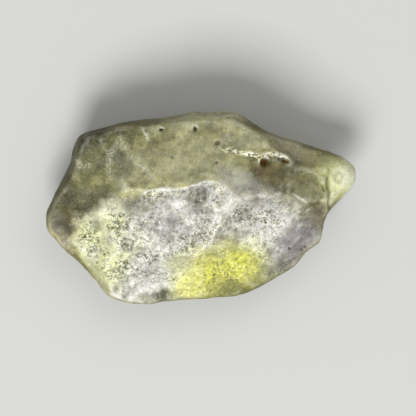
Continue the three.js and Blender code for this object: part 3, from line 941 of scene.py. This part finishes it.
frost = sums("ADD", stepped(mottle(FROST_PATCH, detail=5.0), 0.3, 0.7, 0.22, 0.38), times(wind, 0.12))
frost = sums("ADD", frost, times(sums("MAXIMUM", attribute("wall"), painted_shade_here), 0.22))
plug(frost, shader.inputs["Roughness"])
shader.inputs["IOR"].default_value = 1.46
shader.inputs["Specular IOR Level"].default_value = 0.3
shader.inputs["Transmission Weight"].default_value = 0.42
shader.inputs["Subsurface Weight"].default_value = 1.0
shader.inputs["Subsurface Radius"].default_value = (1.0, 0.95, 0.6)
shader.inputs["Subsurface Scale"].default_value = 3.0 * MM

bump = node("ShaderNodeBump")
bump.inputs["Strength"].default_value = 0.7
bump.inputs["Distance"].default_value = 0.22 * MM
ripple = sums("ADD", times(crinkle, etch_here), times(fine, 0.4))
plug(sums("SUBTRACT", ripple, times(fold_floor, 0.3)), bump.inputs["Height"])
plug(bump, shader.inputs["Normal"])

absorbing = node("ShaderNodeVolumeAbsorption")
absorbing.inputs["Color"].default_value = (0.95, 0.93, 0.55, 1.0)
absorbing.inputs["Density"].default_value = 30.0
plug(absorbing, output.inputs["Volume"])

stone.data.materials.clear()
stone.data.materials.append(glass)

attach(stone, "root")
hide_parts("desert_glass")

# ---- The floor ---------------------------------------------------------------------------------------
# A pale, matt, level sheet that the stone lies on. It stands in for a table and isn't part of the stone.
FLOOR_RADIUS = 3.0  # metres
PAPER = (0.38, 0.38, 0.37, 1.0)

bpy.ops.object.select_all(action="DESELECT")
bpy.ops.mesh.primitive_circle_add(vertices=96, radius=FLOOR_RADIUS, fill_type="NGON")
floor = bpy.context.object
floor.name = "floor"
paper = bpy.data.materials.new("pale_floor")
paper.use_nodes = True
paper_shader = paper.node_tree.nodes["Principled BSDF"]
paper_shader.inputs["Base Color"].default_value = PAPER
paper_shader.inputs["Roughness"].default_value = 0.9
floor.data.materials.append(paper)


# ---- The light ---------------------------------------------------------------------------------------
# One large soft box on the wind side, a weak one behind, and an even pale room that is brighter overhead.
# Azimuth is in degrees from south towards east, and distances and sizes are in metres.
def soft_box(name, azimuth, elevation, distance, size, watts):
    light = bpy.data.lights.new(name, "AREA")
    light.size = size
    light.energy = watts
    lamp = bpy.data.objects.new(name, light)
    turn = math.radians(azimuth)
    rise = math.radians(elevation)
    away = Vector((math.sin(turn) * math.cos(rise), -math.cos(turn) * math.cos(rise), math.sin(rise)))
    lamp.location = away * distance
    lamp.rotation_euler = (-away).to_track_quat("-Z", "Y").to_euler()
    bpy.context.scene.collection.objects.link(lamp)


soft_box("key", azimuth=-12, elevation=48, distance=1.5, size=0.7, watts=34.0)
soft_box("fill", azimuth=150, elevation=50, distance=1.5, size=1.0, watts=4.2)

ROOM_LOW = 0.36  # the room's brightness at the horizon
ROOM_HIGH = 0.72  # and overhead

room = bpy.data.worlds.new("room")
room.use_nodes = True
sky = room.node_tree.nodes
direction = sky.new("ShaderNodeTexCoord")
parts = sky.new("ShaderNodeSeparateXYZ")
dome = sky.new("ShaderNodeMapRange")
dome.interpolation_type = "SMOOTHSTEP"
dome.inputs["From Min"].default_value = 0.0
dome.inputs["From Max"].default_value = 1.0
dome.inputs["To Min"].default_value = ROOM_LOW
dome.inputs["To Max"].default_value = ROOM_HIGH
room.node_tree.links.new(direction.outputs["Generated"], parts.inputs[0])
room.node_tree.links.new(parts.outputs["Z"], dome.inputs["Value"])
room.node_tree.links.new(dome.outputs["Result"], sky["Background"].inputs["Strength"])
sky["Background"].inputs["Color"].default_value = (1.0, 1.0, 1.0, 1.0)
bpy.context.scene.world = room
bpy.context.scene.view_settings.view_transform = "Standard"

# ---- The camera --------------------------------------------------------------------------------------
# Straight above the stone and far off, with a long lens, so that its outline is seen as it is.
VIEW_WIDTH = 55.9 * MM  # what the frame takes in, at the stone's middle height
VIEW_MIDDLE = (0.97 * MM, -0.08 * MM)
VIEW_HEIGHT = 8.0 * MM
CAMERA_RISE = 450 * MM
SENSOR_WIDTH = 36.0

camera = bpy.data.cameras.new("camera")
camera.sensor_width = SENSOR_WIDTH
camera.lens = SENSOR_WIDTH * CAMERA_RISE / VIEW_WIDTH
camera.clip_start = 0.01
camera.clip_end = 10.0
eye = bpy.data.objects.new("camera", camera)
eye.location = (*VIEW_MIDDLE, VIEW_HEIGHT + CAMERA_RISE)
bpy.context.scene.collection.objects.link(eye)
bpy.context.scene.camera = eye
